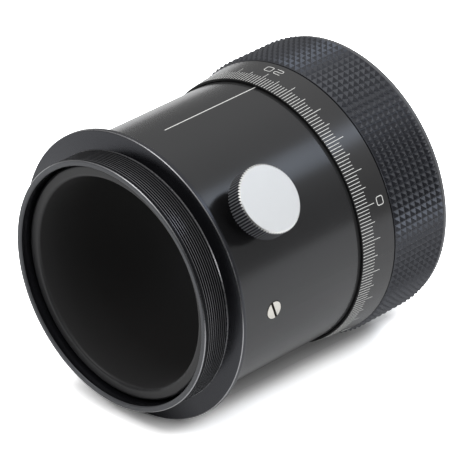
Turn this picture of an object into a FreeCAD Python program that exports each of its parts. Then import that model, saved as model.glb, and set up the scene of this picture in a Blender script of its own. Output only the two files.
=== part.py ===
import FreeCAD, Part
import math
import os

# A helical focuser for a large-aperture instrument, lying on its side as it does on a bench.
# Millimetres. The optical axis is +Y, from the threaded front end to the knurled ring, +Z is up,
# and the origin is on the optical axis at the front face of the flange, where the thread seats.
# Angles round the axis are measured from +X towards +Z.
# The scale stands at 20.1 mm, so the drawtube can still go in 20.1 mm and out 4.9 mm.

vec = FreeCAD.Vector
origin = vec(0, 0, 0)
opticalAxis = vec(0, 1, 0)

# Clearances
runningFit = 0.05
helicoidFit = 0.06
slipFit = 0.04
seatGap = 0.02
stopClearance = 0.4
cutterOverrun = 1.0

# Focus travel: the scale reads 0 with the drawtube fully in and 25 with it fully out
scaleReading = 20.1
travelEnd = 25.0

# Radii from the clear bore outwards
drawtubeBore = 30.2
drawtubeWall = 3.5
sleeveWall = 1.6
nutWall = 1.25
barrelWall = 1.3
drawtubeRadius = drawtubeBore + drawtubeWall
sleeveBore = drawtubeRadius + runningFit
helicoidRadius = sleeveBore + sleeveWall
nutBore = helicoidRadius + helicoidFit
nutRadius = nutBore + nutWall
nutPocketRadius = nutRadius + slipFit
barrelRadius = nutPocketRadius + barrelWall

# Front flange and the male thread that screws into the instrument
mouthGap = 0.6
threadWall = 1.7
threadLength = 8.5
lipChamfer = 0.4
mouthChamfer = 0.3
flangeOverhang = 3.5
flangeThickness = 1.6
flangeChamfer = 0.25
spigotLength = 7.4
spigotPocketWall = 2.1
mouthRadius = drawtubeRadius + mouthGap
threadRadius = mouthRadius + threadWall
flangeRadius = barrelRadius + flangeOverhang
spigotEnd = flangeThickness + spigotLength
borePocketRadius = barrelRadius - spigotPocketWall

# Lock screw
lockAngle = 41.2
lockPosition = 15.65
lockStudRadius = 2.5
lockHubRadius = 4.6
lockHubHeight = 1.2
lockKnobRadius = 9.7
lockKnobHeight = 5.2
lockKnobRise = 9.9
lockKnobTeeth = 72
lockToothDepth = 0.38
lockTopChamfer = 0.5
lockStudEngagement = 0.6
lockPadGap = 0.3
lockPadStep = 0.3
lockPadLength = 1.3
lockPadStemRadius = 1.0
lockPadStemLength = 2.2
lockPadStemSlack = 0.3
lockKnobTopRadius = barrelRadius + lockKnobRise
lockPadFoot = drawtubeRadius + lockPadGap
lockPadRadius = lockStudRadius - lockPadStep

# Barrel: a land with full wall for the key screw and the lock screw, then the helicoid pocket
landGap = 1.3
landMargin = 1.0
barrelChamfer = 0.3
landRadius = drawtubeRadius + landGap
landEnd = lockPosition + lockPadRadius + landMargin

# Grip ring, the web that carries it and the scale ring in front
gripLength = 20.5
gripRise = 3.0
gripRimStep = 0.5
gripRimWidth = 0.9
gripFrontChamfer = 0.35
gripRearChamfer = 0.3
gripLipThickness = 1.9
webThickness = 3.0
scaleKnobGap = 3.55
scaleLength = 11.4
scaleEdgeWall = 0.6
scaleTaper = 1.2
scaleEdgeChamfer = 0.15
grooveWidth = 0.2
grooveDepth = 0.35
skirtGap = 0.3
spigotWall = 0.95
scaleSpigotLength = 5.6
scaleStart = lockPosition + lockKnobRadius + scaleKnobGap + scaleReading
scaleEnd = scaleStart + scaleLength
gripEnd = scaleEnd + gripLength
webEnd = gripEnd - gripLipThickness
webStart = webEnd - webThickness
skirtBore = barrelRadius + skirtGap
scaleFrontRadius = skirtBore + scaleEdgeWall
scaleRearRadius = scaleFrontRadius + scaleTaper
spigotRadius = skirtBore + spigotWall
gripRadius = barrelRadius + gripRise
gripRimRadius = gripRadius - gripRimStep
barrelEnd = webStart - scaleReading - stopClearance
nutLength = 15.0
nutStart = barrelEnd - nutLength

# Drawtube, and the ring in front of the sleeve that keeps the sleeve on it
drawtubeStart = -5.7
drawtubeOuterRound = 0.8
drawtubeInnerRound = 1.0
washerThickness = 0.3
washerInset = 0.2
retainerWidth = 1.7
retainerInset = 0.3
retainerScrewCount = 3
retainerScrewRadius = 0.75
retainerScrewBite = 0.35
retainerScrewSink = 0.2
retainerScrewFirstAngle = 80.0
retainerStart = landEnd + scaleReading + stopClearance
retainerMiddle = retainerStart + retainerWidth / 2
sleeveStart = retainerStart + retainerWidth + washerThickness + 2 * seatGap

# Rear adapter with the female accessory thread
adapterOverhang = 2.5
adapterSocketWall = 1.3
adapterSocketDepth = 7.0
adapterWall = 1.74
accessoryLedge = 3.26
accessoryThreadLength = 3.2
accessoryChamfer = 0.4
adapterScrewCount = 3
adapterScrewRadius = 1.0
adapterScrewSetback = 1.5
adapterScrewSink = 0.12
adapterScrewFirstAngle = 60.0
adapterEnd = gripEnd + adapterOverhang
adapterSocketRadius = drawtubeBore + adapterSocketWall
adapterSocketStart = webEnd - adapterSocketDepth
accessoryThreadRadius = drawtubeBore + accessoryLedge
adapterRadius = accessoryThreadRadius + adapterWall
adapterScrewLine = adapterEnd - adapterScrewSetback
gripLipBore = adapterRadius + stopClearance

# Guide band and light seal between the flange's spigot and the drawtube
lightSealStart = 0.4
lightSealLength = 1.2
guideBandGap = 0.2
guideBandSetback = 0.6
lightSealEnd = lightSealStart + lightSealLength
guideBandStart = lightSealEnd + guideBandGap
guideBandEnd = spigotEnd - guideBandSetback

# Key screw, and the shoe on it that keeps the drawtube from turning
keyAngle = -1.9
keyPosition = 15.25
keyHeadRadius = 2.5
keyShoeStep = 0.2
keyShoeGap = 0.3
keySlotDepth = 1.6
keyShoeSeat = 1.4
keyHeadGap = 0.15
keyHeadThickness = 1.15
keyHeadProud = 0.12
keyShankRadius = 1.5
keyShankSetback = 1.4
keySlotTurn = 111.0
driverSlotWidth = 0.75
driverSlotDepth = 0.8
keyShoeRadius = keyHeadRadius - keyShoeStep
keySlotWidth = 2 * (keyShoeRadius + runningFit)
keySlotFloorRadius = drawtubeRadius - keySlotDepth
keyShoeEndRadius = keySlotFloorRadius + keyShoeGap
keyShoeTopRadius = barrelRadius - keyShoeSeat
keyShankEndRadius = keyShoeEndRadius + keyShankSetback
keyHeadTopRadius = barrelRadius + keyHeadProud
keyHeadFloorRadius = keyHeadTopRadius - keyHeadThickness

# Countersunk screws that hold the grip ring on the web, from the rear
gripScrewCount = 3
gripScrewHeadRadius = 1.7
gripScrewShankRadius = 0.95
gripScrewHeadHeight = 1.0
gripScrewHeadRim = 0.15
gripScrewLength = 3.6
gripScrewSink = 0.1
gripScrewSocketWidth = 1.3
gripScrewSocketDepth = 0.6
gripScrewFirstAngle = 30.0
gripScrewCircle = (gripLipBore + spigotRadius) / 2
gripScrewTop = gripEnd - gripScrewSink


def revolved(profile):
    """A ring turned about the optical axis from (radius, y) corners."""
    corners = [vec(radius, y, 0) for radius, y in profile]
    face = Part.Face(Part.makePolygon(corners + corners[:1]))
    return face.revolve(origin, opticalAxis, 360)


def plainRing(innerRadius, outerRadius, start, end):
    return revolved([(innerRadius, start), (outerRadius, start), (outerRadius, end), (innerRadius, end)])


def radialDirection(angle):
    return vec(math.cos(math.radians(angle)), 0, math.sin(math.radians(angle)))


def radialRod(angle, y, radius, fromRadius, toRadius):
    """A round rod that points away from the optical axis."""
    direction = radialDirection(angle)
    foot = direction * fromRadius + vec(0, y, 0)
    return Part.makeCylinder(radius, toRadius - fromRadius, foot, direction)


def radialHole(shape, angle, y, radius, fromRadius, toRadius):
    """Drill a round hole right through the wall between two radii."""
    return shape.cut(radialRod(angle, y, radius, fromRadius - cutterOverrun, toRadius + cutterOverrun))


def roundedRim(shape, radius, y, roundRadius):
    """Round the edge that goes round the optical axis at that radius and y."""
    rims = []
    for edge in shape.Edges:
        isCircle = isinstance(edge.Curve, Part.Circle)
        if isCircle and abs(edge.Curve.Radius - radius) < 0.01 and abs(edge.Curve.Center.y - y) < 0.01:
            rims.append(edge)
    return shape.makeFillet(roundRadius, rims)


def aroundAxis(shape, angle):
    """Turn a shape made on +X to its angle round the optical axis."""
    turned = shape.copy()
    turned.rotate(origin, opticalAxis, -angle)
    return turned


def evenAngles(first, count):
    return [first + 360.0 / count * i for i in range(count)]


def hexPrism(width, depth, foot, direction):
    """A hexagonal cutter of that width across flats, from foot along direction."""
    cornerRadius = width / math.sqrt(3)
    corners = []
    for i in range(6):
        turn = math.radians(60 * i)
        corners.append(vec(cornerRadius * math.cos(turn), cornerRadius * math.sin(turn), 0))
    prism = Part.Face(Part.makePolygon(corners + corners[:1])).extrude(vec(0, 0, depth))
    prism.Placement = FreeCAD.Placement(foot, FreeCAD.Rotation(vec(0, 0, 1), direction))
    return prism


def frontFlange():
    spigotRadiusOut = borePocketRadius - slipFit
    return revolved([
        (mouthRadius + mouthChamfer, -threadLength),
        (threadRadius - lipChamfer, -threadLength),
        (threadRadius, -threadLength + lipChamfer),
        (threadRadius, 0),
        (flangeRadius - flangeChamfer, 0),
        (flangeRadius, flangeChamfer),
        (flangeRadius, flangeThickness - flangeChamfer),
        (flangeRadius - flangeChamfer, flangeThickness),
        (spigotRadiusOut, flangeThickness),
        (spigotRadiusOut, spigotEnd),
        (mouthRadius, spigotEnd),
        (mouthRadius, -threadLength + mouthChamfer),
    ])


def mainBarrel():
    """The tube, with a pocket for the flange's spigot, a land, and a pocket for the nut."""
    front = flangeThickness + seatGap
    barrel = revolved([
        (borePocketRadius, front),
        (barrelRadius, front),
        (barrelRadius, barrelEnd - barrelChamfer),
        (barrelRadius - barrelChamfer, barrelEnd),
        (nutPocketRadius, barrelEnd),
        (nutPocketRadius, nutStart),
        (borePocketRadius, nutStart),
        (borePocketRadius, landEnd),
        (landRadius, landEnd),
        (landRadius, spigotEnd + seatGap),
        (borePocketRadius, spigotEnd + seatGap),
    ])
    counterbore = radialRod(keyAngle, keyPosition, keyHeadRadius + keyHeadGap,
                            keyHeadFloorRadius - seatGap, barrelRadius + cutterOverrun)
    barrel = barrel.cut(counterbore)
    barrel = radialHole(barrel, keyAngle, keyPosition, keyShoeRadius + slipFit, landRadius, keyShoeTopRadius)
    return radialHole(barrel, lockAngle, lockPosition, lockStudRadius + runningFit, landRadius, barrelRadius)


def helicoidNut():
    return plainRing(nutBore, nutRadius, nutStart + seatGap, barrelEnd)


def guideBand():
    return plainRing(sleeveBore, mouthRadius - seatGap, guideBandStart, guideBandEnd)


def lightSeal():
    return plainRing(sleeveBore + runningFit, mouthRadius - seatGap, lightSealStart, lightSealEnd)


def keyScrew():
    """A slotted cheese-head screw with its head sunk in the barrel."""
    head = radialRod(keyAngle, keyPosition, keyHeadRadius, keyHeadFloorRadius, keyHeadTopRadius)
    shank = radialRod(keyAngle, keyPosition, keyShankRadius, keyShankEndRadius, keyHeadFloorRadius)
    slotLength = 3 * keyHeadRadius
    slot = Part.makeBox(2 * driverSlotDepth, slotLength, driverSlotWidth,
                        vec(-driverSlotDepth, -slotLength / 2, -driverSlotWidth / 2))
    slot.rotate(origin, vec(1, 0, 0), keySlotTurn)
    slot.translate(vec(keyHeadTopRadius, keyPosition, 0))
    return head.fuse(shank).cut(aroundAxis(slot, keyAngle)).removeSplitter()


def keyShoe():
    shoe = radialRod(keyAngle, keyPosition, keyShoeRadius, keyShoeEndRadius, keyShoeTopRadius)
    shankHole = radialRod(keyAngle, keyPosition, keyShankRadius + seatGap,
                          keyShankEndRadius - seatGap, keyShoeTopRadius + cutterOverrun)
    return shoe.cut(shankHole)


def keySlot():
    """The slot in the drawtube that the key shoe runs in, from one end of the travel to the other."""
    first = keyPosition - (travelEnd - scaleReading)
    last = keyPosition + scaleReading
    half = keySlotWidth / 2
    slot = Part.makeBox(drawtubeRadius, last - first, keySlotWidth, vec(keySlotFloorRadius, first, -half))
    for y in (first, last):
        foot = vec(keySlotFloorRadius, y, 0)
        slot = slot.fuse(Part.makeCylinder(half, drawtubeRadius, foot, vec(1, 0, 0)))
    return aroundAxis(slot.removeSplitter(), keyAngle)


def drawtube():
    tube = revolved([
        (drawtubeBore, drawtubeStart),
        (drawtubeRadius, drawtubeStart),
        (drawtubeRadius, webEnd),
        (adapterSocketRadius, webEnd),
        (adapterSocketRadius, adapterSocketStart),
        (drawtubeBore, adapterSocketStart),
    ])
    tube = roundedRim(tube, drawtubeRadius, drawtubeStart, drawtubeOuterRound)
    tube = roundedRim(tube, drawtubeBore, drawtubeStart, drawtubeInnerRound)
    tube = tube.cut(keySlot())
    dimpleFloor = drawtubeRadius - retainerScrewBite - slipFit
    for angle in evenAngles(retainerScrewFirstAngle, retainerScrewCount):
        tube = tube.cut(radialRod(angle, retainerMiddle, retainerScrewRadius + slipFit,
                                  dimpleFloor, drawtubeRadius + cutterOverrun))
    return tube


def retainingRing():
    inner = drawtubeRadius + seatGap
    outer = helicoidRadius - retainerInset
    ring = plainRing(inner, outer, retainerStart, retainerStart + retainerWidth)
    for angle in evenAngles(retainerScrewFirstAngle, retainerScrewCount):
        ring = radialHole(ring, angle, retainerMiddle, retainerScrewRadius + slipFit, inner, outer)
    return ring


def retainerScrews():
    foot = drawtubeRadius - retainerScrewBite
    top = helicoidRadius - retainerInset - retainerScrewSink
    screws = []
    for angle in evenAngles(retainerScrewFirstAngle, retainerScrewCount):
        screws.append(radialRod(angle, retainerMiddle, retainerScrewRadius, foot, top))
    return Part.makeCompound(screws)


def thrustWasher(start, outerRadius):
    return plainRing(sleeveBore + runningFit, outerRadius, start, start + washerThickness)


def frontThrustWasher():
    return thrustWasher(sleeveStart - seatGap - washerThickness, helicoidRadius - retainerInset)


def rearThrustWasher():
    return thrustWasher(webEnd + seatGap, adapterRadius - washerInset)


def rearAdapter():
    flangeFace = webEnd + washerThickness + 2 * seatGap
    threadStart = adapterEnd - accessoryThreadLength
    adapter = revolved([
        (drawtubeBore, adapterSocketStart + seatGap),
        (adapterSocketRadius - slipFit, adapterSocketStart + seatGap),
        (adapterSocketRadius - slipFit, flangeFace),
        (adapterRadius, flangeFace),
        (adapterRadius, adapterEnd - accessoryChamfer),
        (adapterRadius - accessoryChamfer, adapterEnd),
        (accessoryThreadRadius + accessoryChamfer, adapterEnd),
        (accessoryThreadRadius, adapterEnd - accessoryChamfer),
        (accessoryThreadRadius, threadStart),
        (drawtubeBore, threadStart),
    ])
    for angle in evenAngles(adapterScrewFirstAngle, adapterScrewCount):
        adapter = radialHole(adapter, angle, adapterScrewLine, adapterScrewRadius + slipFit,
                             accessoryThreadRadius, adapterRadius)
    return adapter


def adapterScrews():
    foot = accessoryThreadRadius + adapterScrewSink
    top = adapterRadius - adapterScrewSink
    screws = []
    for angle in evenAngles(adapterScrewFirstAngle, adapterScrewCount):
        screws.append(radialRod(angle, adapterScrewLine, adapterScrewRadius, foot, top))
    return Part.makeCompound(screws)


def helicoidSleeve():
    """The rotating sleeve, with the web at its rear end that the grip ring is screwed to."""
    sleeve = revolved([
        (sleeveBore, sleeveStart),
        (helicoidRadius, sleeveStart),
        (helicoidRadius, webStart),
        (spigotRadius, webStart),
        (spigotRadius, webEnd),
        (sleeveBore, webEnd),
    ])
    drillLength = webThickness + 2 * cutterOverrun
    for angle in evenAngles(gripScrewFirstAngle, gripScrewCount):
        foot = radialDirection(angle) * gripScrewCircle + vec(0, webStart - cutterOverrun, 0)
        sleeve = sleeve.cut(Part.makeCylinder(gripScrewShankRadius + slipFit, drillLength, foot, opticalAxis))
    return sleeve


def scaleRing():
    """A slightly conical skirt with a groove behind it and a spigot that goes under the grip ring."""
    coneEnd = scaleEnd - grooveWidth
    return revolved([
        (skirtBore, scaleStart),
        (scaleFrontRadius - scaleEdgeChamfer, scaleStart),
        (scaleFrontRadius, scaleStart + scaleEdgeChamfer),
        (scaleRearRadius, coneEnd),
        (scaleRearRadius - grooveDepth, coneEnd),
        (scaleRearRadius - grooveDepth, scaleEnd),
        (spigotRadius, scaleEnd),
        (spigotRadius, scaleEnd + scaleSpigotLength),
        (skirtBore, scaleEnd + scaleSpigotLength),
    ])


def gripRing():
    inner = spigotRadius + slipFit
    front = scaleEnd + seatGap
    lipFace = webEnd + seatGap
    rimStart = gripEnd - gripRimWidth
    ring = revolved([
        (inner, front),
        (gripRadius - gripFrontChamfer, front),
        (gripRadius, front + gripFrontChamfer),
        (gripRadius, rimStart),
        (gripRimRadius, rimStart),
        (gripRimRadius, gripEnd - gripRearChamfer),
        (gripRimRadius - gripRearChamfer, gripEnd),
        (gripLipBore, gripEnd),
        (gripLipBore, lipFace),
        (inner, lipFace),
    ])
    for angle in evenAngles(gripScrewFirstAngle, gripScrewCount):
        hole = gripScrewForm(slipFit, cutterOverrun)
        hole.translate(radialDirection(angle) * gripScrewCircle)
        ring = ring.cut(hole)
    return ring


def gripScrewForm(clearance, overrun):
    """A countersunk screw on the optical axis, or with clearance and overrun the hole for it."""
    foot = gripScrewTop - gripScrewLength - overrun
    headFoot = gripScrewTop - gripScrewHeadHeight
    return revolved([
        (0, foot),
        (gripScrewShankRadius + clearance, foot),
        (gripScrewShankRadius + clearance, headFoot),
        (gripScrewHeadRadius + clearance, gripScrewTop - gripScrewHeadRim),
        (gripScrewHeadRadius + clearance, gripScrewTop + overrun),
        (0, gripScrewTop + overrun),
    ])


def gripScrews():
    socket = hexPrism(gripScrewSocketWidth, gripScrewSocketDepth + cutterOverrun,
                      vec(0, gripScrewTop - gripScrewSocketDepth, 0), opticalAxis)
    screws = []
    for angle in evenAngles(gripScrewFirstAngle, gripScrewCount):
        screw = gripScrewForm(0, 0).cut(socket)
        screw.translate(radialDirection(angle) * gripScrewCircle)
        screws.append(screw)
    return Part.makeCompound(screws)


def lockPad():
    shoulder = lockPadFoot + lockPadLength
    pad = radialRod(lockAngle, lockPosition, lockPadRadius, lockPadFoot, shoulder)
    stem = radialRod(lockAngle, lockPosition, lockPadStemRadius, shoulder, shoulder + lockPadStemLength)
    return pad.fuse(stem).removeSplitter()


def lockStud():
    foot = lockPadFoot + lockPadLength + seatGap
    top = lockKnobTopRadius - lockKnobHeight * (1 - lockStudEngagement)
    stud = radialRod(lockAngle, lockPosition, lockStudRadius, foot, top)
    stemHole = radialRod(lockAngle, lockPosition, lockPadStemRadius + runningFit,
                         foot - cutterOverrun, foot + lockPadStemLength + lockPadStemSlack)
    return stud.cut(stemHole)


def lockKnob():
    """A straight-knurled knob. Its turned top chamfer cuts across the teeth."""
    corners = []
    for i in range(2 * lockKnobTeeth):
        turn = math.pi * i / lockKnobTeeth
        radius = lockKnobRadius - lockToothDepth * (i % 2)
        corners.append(vec(radius * math.cos(turn), radius * math.sin(turn), 0))
    knurl = Part.Face(Part.makePolygon(corners + corners[:1])).extrude(vec(0, 0, lockKnobHeight))
    outside = lockKnobRadius + lockTopChamfer
    turnedForm = Part.Face(Part.makePolygon([
        vec(0, 0, 0),
        vec(outside, 0, 0),
        vec(outside, 0, lockKnobHeight - 2 * lockTopChamfer),
        vec(lockKnobRadius - lockTopChamfer, 0, lockKnobHeight),
        vec(0, 0, lockKnobHeight),
        vec(0, 0, 0),
    ])).revolve(origin, vec(0, 0, 1), 360)
    hubFoot = vec(0, 0, -lockHubHeight)
    knob = knurl.common(turnedForm)
    knob = knob.fuse(Part.makeCylinder(lockHubRadius, 2 * lockHubHeight, hubFoot))
    studDepth = lockHubHeight + lockKnobHeight * lockStudEngagement + seatGap
    knob = knob.cut(Part.makeCylinder(lockStudRadius + seatGap, studDepth, hubFoot))
    direction = radialDirection(lockAngle)
    foot = direction * (lockKnobTopRadius - lockKnobHeight) + vec(0, lockPosition, 0)
    knob.Placement = FreeCAD.Placement(foot, FreeCAD.Rotation(vec(0, 0, 1), direction))
    return knob


subParts = {
    "front_flange": frontFlange,
    "main_barrel": mainBarrel,
    "helicoid_nut": helicoidNut,
    "guide_band": guideBand,
    "light_seal": lightSeal,
    "key_screw": keyScrew,
    "key_shoe": keyShoe,
    "drawtube": drawtube,
    "retaining_ring": retainingRing,
    "retaining_ring_screws": retainerScrews,
    "front_thrust_washer": frontThrustWasher,
    "rear_thrust_washer": rearThrustWasher,
    "rear_adapter": rearAdapter,
    "rear_adapter_screws": adapterScrews,
    "helicoid_sleeve": helicoidSleeve,
    "scale_ring": scaleRing,
    "grip_ring": gripRing,
    "grip_screws": gripScrews,
    "lock_pad": lockPad,
    "lock_stud": lockStud,
    "lock_knob": lockKnob,
}

os.makedirs("parts", exist_ok=True)
for name, makeShape in subParts.items():
    makeShape().exportStep(f"parts/{name}.step")
print(len(subParts), "sub-parts written")
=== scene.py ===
import math
import bpy
from mathutils import Matrix, Vector


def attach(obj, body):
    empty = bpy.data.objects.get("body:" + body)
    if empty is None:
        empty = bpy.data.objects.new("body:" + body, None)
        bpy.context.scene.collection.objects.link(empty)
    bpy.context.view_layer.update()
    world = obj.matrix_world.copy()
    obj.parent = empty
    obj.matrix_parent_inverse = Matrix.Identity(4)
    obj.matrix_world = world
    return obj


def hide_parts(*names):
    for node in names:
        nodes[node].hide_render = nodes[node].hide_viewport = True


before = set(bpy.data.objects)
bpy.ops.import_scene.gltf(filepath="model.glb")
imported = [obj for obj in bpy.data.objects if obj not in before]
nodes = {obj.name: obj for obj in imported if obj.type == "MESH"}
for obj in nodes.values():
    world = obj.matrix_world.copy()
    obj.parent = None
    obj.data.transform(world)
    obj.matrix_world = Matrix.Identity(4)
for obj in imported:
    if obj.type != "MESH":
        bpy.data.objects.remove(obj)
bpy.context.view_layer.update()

# Helical focuser on its side: optical axis along +Y, threaded end in front, index line on top.
# Sizes in the dictionaries are millimetres and degrees, and mm turns them into metres.
mm = 0.001


# Shader maths as plain expressions: a wire is a node socket that can be added, multiplied and so on
class Wire:
    def __init__(self, tree, socket):
        self.tree = tree
        self.socket = socket

    def maths(self, operation, first, second=0.0):
        return addNode(self.tree, "ShaderNodeMath", {"operation": operation}, {0: first, 1: second})

    def __add__(self, other):
        return self.maths("ADD", self, other)

    def __radd__(self, other):
        return self.maths("ADD", other, self)

    def __sub__(self, other):
        return self.maths("SUBTRACT", self, other)

    def __rsub__(self, other):
        return self.maths("SUBTRACT", other, self)

    def __mul__(self, other):
        return self.maths("MULTIPLY", self, other)

    def __rmul__(self, other):
        return self.maths("MULTIPLY", other, self)

    def __pow__(self, other):
        return self.maths("POWER", self, other)

    def __gt__(self, other):
        return self.maths("GREATER_THAN", self, other)


# One way to add any node: its type, its settings, then values or wires for its sockets
def addNode(tree, kind, settings, sockets, output=0):
    node = tree.nodes.new(kind)
    for name, value in settings.items():
        if name == "stops":
            ramp = node.color_ramp
            for i, (place, shade) in enumerate(value):
                element = ramp.elements[i] if i < 2 else ramp.elements.new(place)
                element.position = place
                element.color = (shade, shade, shade, 1) if isinstance(shade, (int, float)) else (*shade, 1)
        else:
            setattr(node, name, value)
    for name, value in sockets.items():
        if isinstance(value, Wire):
            tree.links.new(value.socket, node.inputs[name])
        else:
            node.inputs[name].default_value = value
    return Wire(tree, node.outputs[output]) if node.outputs else None


def deselectAll():
    if bpy.context.object and bpy.context.object.mode != "OBJECT":
        bpy.ops.object.mode_set(mode="OBJECT")
    bpy.ops.object.select_all(action="DESELECT")


def makeActive(piece):
    deselectAll()
    piece.select_set(True)
    bpy.context.view_layer.objects.active = piece


# Select faces in edit mode by a test on their centre and normal
def selectFaces(piece, test):
    bpy.ops.object.mode_set(mode="EDIT")
    bpy.ops.mesh.select_mode(type="FACE")
    bpy.ops.mesh.select_all(action="DESELECT")
    bpy.ops.object.mode_set(mode="OBJECT")
    for face in piece.data.polygons:
        face.select = test(face.center, face.normal)
    bpy.ops.object.mode_set(mode="EDIT")


# Select vertices in edit mode by a test on their place
def selectVertices(piece, test):
    bpy.ops.object.mode_set(mode="EDIT")
    bpy.ops.mesh.select_mode(type="VERT")
    bpy.ops.mesh.select_all(action="DESELECT")
    bpy.ops.object.mode_set(mode="OBJECT")
    for vertex in piece.data.vertices:
        vertex.select = test(vertex.co)
    bpy.ops.object.mode_set(mode="EDIT")


def facesDown(centre, normal):
    return normal.z < -0.5


# Distance of a point from the optical axis
def radiusOf(point):
    return math.hypot(point.x, point.z)


# Closed turned form round the optical axis: a circle is extruded and scaled from corner to corner
def turnedRing(name, corners, segments):
    deselectAll()
    radius, along = corners[0]
    bpy.ops.mesh.primitive_circle_add(vertices=segments, radius=radius * mm, location=(0, along * mm, 0),
                                      rotation=(math.radians(90), 0, 0))
    piece = bpy.context.object
    piece.name = name
    bpy.ops.object.transform_apply(location=True, rotation=True, scale=True)
    bpy.ops.object.mode_set(mode="EDIT")
    bpy.ops.mesh.select_all(action="SELECT")
    for (fromRadius, fromAlong), (toRadius, toAlong) in zip(corners, corners[1:] + corners[:1]):
        bpy.ops.mesh.extrude_edges_move(TRANSFORM_OT_translate={"value": (0, (toAlong - fromAlong) * mm, 0)})
        scale = toRadius / fromRadius
        bpy.ops.transform.resize(value=(scale, 1, scale), center_override=(0, 0, 0))
    bpy.ops.mesh.select_all(action="SELECT")
    bpy.ops.mesh.remove_doubles(threshold=0.002 * mm)
    bpy.ops.mesh.normals_make_consistent(inside=False)
    bpy.ops.object.mode_set(mode="OBJECT")
    return piece


def applyModifier(piece, kind, **settings):
    makeActive(piece)
    bpy.ops.object.modifier_add(type=kind)
    modifier = piece.modifiers[-1]
    for name, value in settings.items():
        setattr(modifier, name, value)
    bpy.ops.object.modifier_apply(modifier=modifier.name)


def bevelEdges(piece, width, segments=2, angle=30):
    applyModifier(piece, "BEVEL", width=width * mm, segments=segments, limit_method="ANGLE",
                  angle_limit=math.radians(angle), harden_normals=False)


def smoothByAngle(piece, angle=30):
    makeActive(piece)
    bpy.ops.object.shade_smooth_by_angle(angle=math.radians(angle))


# Join pieces into the first one
def joinPieces(first, others):
    makeActive(first)
    for piece in others:
        piece.select_set(True)
    bpy.ops.object.join()
    return first


# The ridge of a screw thread: a trapezoid is screwed along the axis, with both ends closed
def threadRidge(name, thread):
    deselectAll()
    inner, outer = thread["buriedRadius"], thread["crestRadius"]
    bpy.ops.mesh.primitive_plane_add(size=1, location=((inner + outer) / 2 * mm, thread["start"] * mm, 0))
    piece = bpy.context.object
    piece.name = name
    piece.scale = (abs(outer - inner) * mm, thread["rootWidth"] * mm, 1)
    bpy.ops.object.transform_apply(location=True, rotation=True, scale=True)
    selectVertices(piece, lambda co: abs(co.x - outer * mm) < 0.01 * mm)
    crestShare = thread["crestWidth"] / thread["rootWidth"]
    bpy.ops.transform.resize(value=(1, crestShare, 1), center_override=(0, thread["start"] * mm, 0))
    bpy.ops.object.mode_set(mode="OBJECT")
    applyModifier(piece, "SCREW", axis="Y", angle=math.radians(360), screw_offset=thread["pitch"] * mm,
                  iterations=thread["turns"], steps=thread["steps"], render_steps=thread["steps"],
                  use_smooth_shade=False)
    bpy.ops.object.mode_set(mode="EDIT")
    bpy.ops.mesh.select_all(action="SELECT")
    bpy.ops.mesh.remove_doubles(threshold=0.001 * mm)
    bpy.ops.mesh.fill_holes(sides=4)
    bpy.ops.mesh.normals_make_consistent(inside=False)
    bpy.ops.object.mode_set(mode="OBJECT")
    return piece


# Frame on the surface at an angle round the axis: x goes round, y goes forward, z points outwards
def surfaceFrame(angle, along, radius, slope=0.0):
    phi = math.radians(angle)
    tilt = math.radians(slope)
    outward = Vector((math.cos(phi), 0, math.sin(phi)))
    normal = outward * math.cos(tilt) - Vector((0, 1, 0)) * math.sin(tilt)
    forward = Vector((0, -1, 0)) * math.cos(tilt) - outward * math.sin(tilt)
    around = forward.cross(normal)
    place = outward * radius * mm + Vector((0, along * mm, 0))
    frameMatrix = Matrix((around, forward, normal)).transposed().to_4x4()
    frameMatrix.translation = place
    return frameMatrix


def placePiece(piece, matrix):
    piece.matrix_world = matrix
    makeActive(piece)
    bpy.ops.object.transform_apply(location=True, rotation=True, scale=True)


def assignMaterials(piece, *materials):
    piece.data.materials.clear()
    for material in materials:
        piece.data.materials.append(material)


def finishPiece(piece, body, stands=()):
    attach(piece, body)
    if stands:
        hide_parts(*stands)


# Materials

def newMaterial(name):
    material = bpy.data.materials.new(name)
    material.use_nodes = True
    tree = material.node_tree
    tree.nodes.clear()
    shader = tree.nodes.new("ShaderNodeBsdfPrincipled")
    output = tree.nodes.new("ShaderNodeOutputMaterial")
    tree.links.new(shader.outputs[0], output.inputs[0])
    return material, tree, shader


def connect(shader, name, wire):
    wire.tree.links.new(wire.socket, shader.inputs[name])


def objectPlace(tree):
    return addNode(tree, "ShaderNodeTexCoord", {}, {}, "Object")


def splitXyz(tree, vector):
    first = addNode(tree, "ShaderNodeSeparateXYZ", {}, {0: vector})
    return [Wire(tree, output) for output in first.socket.node.outputs]


# Distance from the optical axis and place along it, both in millimetres
def roundTheAxis(tree):
    place = objectPlace(tree)
    x, y, z = splitXyz(tree, place)
    radius = (x * x + z * z) ** 0.5
    return place, radius * 1000, y * 1000


def noise(tree, place, scale, detail):
    return addNode(tree, "ShaderNodeTexNoise", {}, {"Vector": place, "Scale": scale, "Detail": detail})


# Fine lathe lines: noise that changes along the axis and with the radius, but not round it
def latheLines(tree, radius, along, perMm):
    point = addNode(tree, "ShaderNodeCombineXYZ", {}, {0: radius * perMm, 1: along * perMm, 2: 0.0})
    return noise(tree, point, 1.0, 2.0)


# Mix of two colours, each a wire or three numbers
def mixColours(tree, share, first, second):
    first, second = (c if isinstance(c, Wire) else (*c, 1) for c in (first, second))
    return addNode(tree, "ShaderNodeMix", {"data_type": "RGBA"}, {0: share, 6: first, 7: second}, 2)


def bumped(tree, height, strength, depth):
    values = {"Height": height, "Strength": strength, "Distance": depth * mm}
    return addNode(tree, "ShaderNodeBump", {}, values)


# What the anodised finishes share, unless one says otherwise. The tint is that of the shine. The last two
# are the colour and the added roughness of a zone of painted shade.
anodisedDefaults = {"ior": 1.5, "linesPerMm": 9.0, "bump": 0.05, "tint": (1.0, 1.0, 1.0),
                    "paintedShadeColour": (0.003, 0.003, 0.003), "matteness": 0.4}
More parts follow.
